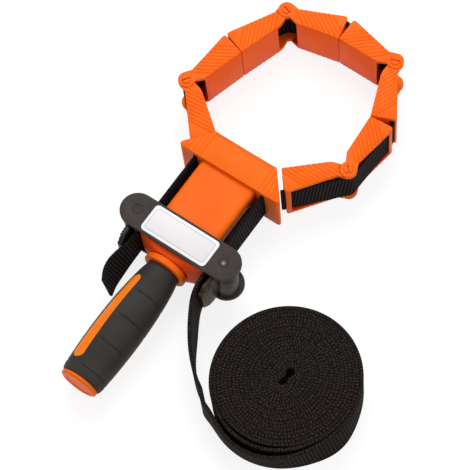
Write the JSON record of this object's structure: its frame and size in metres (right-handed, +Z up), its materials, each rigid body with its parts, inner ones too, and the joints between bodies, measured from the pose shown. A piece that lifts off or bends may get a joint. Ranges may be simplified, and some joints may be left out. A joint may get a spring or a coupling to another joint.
{
  "type": "ratchet band clamp",
  "caption": "Strap clamp with a screw-tightened crossbar, round grip, folding hinged jaws in a ring, spring cam levers and a wound webbing strap",
  "frame": {"origin": "middle of the head's underside, on the surface that the clamp lies on", "axes": "+Y from the handle through the head to the jaws, +X along the crossbar towards the wound strap, +Z up from the surface"},
  "size_m": [0.2102, 0.2828, 0.0334],
  "materials": {
    "orange_plastic": "vivid orange moulded plastic",
    "collar_orange": "yellower orange moulded plastic",
    "black_coated_steel": "black satin coated sheet",
    "grip_rubber": "soft dark grey rubber",
    "webbing": "black woven webbing",
    "label_white": "bare off-white plate",
    "bright_steel": "plain steel",
    "lever_metal": "dark bronze lacquered die casting",
    "nut_brass": "plain brass"
  },
  "bodies": {
    "frame": {"head": "orange_plastic", "box_housing": "orange_plastic", "thrust_washer": "bright_steel", "strap_in_head_left": "webbing", "strap_in_head_right": "webbing", "strap_side_left": "webbing", "strap_side_right": "webbing", "strap_free": "webbing", "strap_roll": "webbing"},
    "handle": {"handle_core": "collar_orange", "handle_grip": "grip_rubber", "handle_end_cap": "orange_plastic", "spindle": "bright_steel", "retaining_clip": "bright_steel"},
    "crossbar": {"crossbar_upper_plate": "black_coated_steel", "crossbar_lower_plate": "black_coated_steel", "label_plate": "label_white", "strap_post_left": "black_coated_steel", "strap_post_right": "black_coated_steel", "nut_block": "nut_brass", "cam_pin_left": "bright_steel", "cam_pin_right": "bright_steel", "cam_spring_left": "bright_steel", "cam_spring_right": "bright_steel", "strap_tail_left": "webbing", "strap_clamped_right": "webbing"},
    "cam_left": {"cam_lever_left": "lever_metal"},
    "cam_right": {"cam_lever_right": "lever_metal"},
    "jaw_1_arm_a_body": {"jaw_1_arm_a": "orange_plastic", "jaw_1_strap_a": "webbing"},
    "jaw_1_arm_b_body": {"jaw_1_arm_b": "orange_plastic", "jaw_1_strap_b": "webbing"},
    "jaw_2_arm_a_body": {"jaw_2_arm_a": "orange_plastic", "jaw_2_strap_a": "webbing"},
    "jaw_2_arm_b_body": {"jaw_2_arm_b": "orange_plastic", "jaw_2_strap_b": "webbing"},
    "jaw_3_arm_a_body": {"jaw_3_arm_a": "orange_plastic", "jaw_3_strap_a": "webbing"},
    "jaw_3_arm_b_body": {"jaw_3_arm_b": "orange_plastic", "jaw_3_strap_b": "webbing"},
    "jaw_4_arm_a_body": {"jaw_4_arm_a": "orange_plastic", "jaw_4_strap_a": "webbing"},
    "jaw_4_arm_b_body": {"jaw_4_arm_b": "orange_plastic", "jaw_4_strap_b": "webbing"}
  },
  "joints": [
    {"name": "handle_turn", "type": "hinge", "parent": "frame", "child": "handle", "pos_m": [0, -0.1, 0.0165], "axis": [0, 1, 0], "range_deg": [0, 2880.5]},
    {"name": "crossbar_slide", "type": "slide", "parent": "frame", "child": "crossbar", "axis": [0, 1, 0], "range_m": [0, 0.024], "deforming": ["strap_side_left", "strap_side_right", "strap_free"]},
    {"name": "cam_right_turn", "type": "hinge", "parent": "crossbar", "child": "cam_right", "pos_m": [0.0314, -0.0586, 0.0165], "axis": [0, 0, 1], "range_deg": [0, 40], "stiffness_Nm_per_rad": 0.03, "springref_deg": -34.38},
    {"name": "cam_left_turn", "type": "hinge", "parent": "crossbar", "child": "cam_left", "pos_m": [-0.0314, -0.0586, 0.0165], "axis": [0, 0, -1], "range_deg": [0, 40], "stiffness_Nm_per_rad": 0.03, "springref_deg": -34.38},
    {"name": "jaw_1_seat", "type": "hinge", "parent": "frame", "child": "jaw_1_arm_a_body", "pos_m": [-0.0226, 0.00966, 0.0165], "axis": [0, 0, 1], "range_deg": [-1.95, 0.79]},
    {"name": "jaw_1_hinge", "type": "hinge", "parent": "jaw_1_arm_a_body", "child": "jaw_1_arm_b_body", "pos_m": [-0.05797, 0.02874, 0.0165], "axis": [0, 0, 1], "range_deg": [-4, 10]},
    {"name": "jaw_1_to_2_pivot", "type": "hinge", "parent": "jaw_1_arm_b_body", "child": "jaw_2_arm_a_body", "pos_m": [-0.04085, 0.06285, 0.0165], "axis": [0, 0, 1], "range_deg": [-1.38, 0.56]},
    {"name": "jaw_2_hinge", "type": "hinge", "parent": "jaw_2_arm_a_body", "child": "jaw_2_arm_b_body", "pos_m": [-0.03438, 0.10258, 0.0165], "axis": [0, 0, 1], "range_deg": [-10.21, 4.09]},
    {"name": "jaw_2_to_3_pivot", "type": "hinge", "parent": "jaw_2_arm_b_body", "child": "jaw_3_arm_a_body", "pos_m": [0.00379, 0.10327, 0.0165], "axis": [0, 0, 1], "range_deg": [-1.22, 0.5]},
    {"name": "jaw_3_hinge", "type": "hinge", "parent": "jaw_3_arm_a_body", "child": "jaw_3_arm_b_body", "pos_m": [0.04151, 0.10915, 0.0165], "axis": [0, 0, 1], "range_deg": [-4.01, 9.99]},
    {"name": "jaw_3_to_4_pivot", "type": "hinge", "parent": "jaw_3_arm_b_body", "child": "jaw_4_arm_a_body", "pos_m": [0.04951, 0.06971, 0.0165], "axis": [0, 0, 1], "range_deg": [-0.5, 1.22]},
    {"name": "jaw_4_hinge", "type": "hinge", "parent": "jaw_4_arm_a_body", "child": "jaw_4_arm_b_body", "pos_m": [0.05827, 0.03255, 0.0165], "axis": [0, 0, 1], "range_deg": [-5.33, 2.14]}
  ],
  "couplings": [
    {"joint": "handle_turn", "follows": "crossbar_slide", "rad_per_m": 2094.4},
    {"joint": "jaw_1_seat", "follows": "jaw_1_hinge", "ratio": -0.1925},
    {"joint": "jaw_1_to_2_pivot", "follows": "jaw_1_hinge", "ratio": -0.1363},
    {"joint": "jaw_2_hinge", "follows": "jaw_1_hinge", "ratio": -1.0188},
    {"joint": "jaw_2_to_3_pivot", "follows": "jaw_1_hinge", "ratio": -0.12},
    {"joint": "jaw_3_hinge", "follows": "jaw_1_hinge", "ratio": 0.9971},
    {"joint": "jaw_3_to_4_pivot", "follows": "jaw_1_hinge", "ratio": 0.12},
    {"joint": "jaw_4_hinge", "follows": "jaw_1_hinge", "ratio": -0.5311}
  ]
}
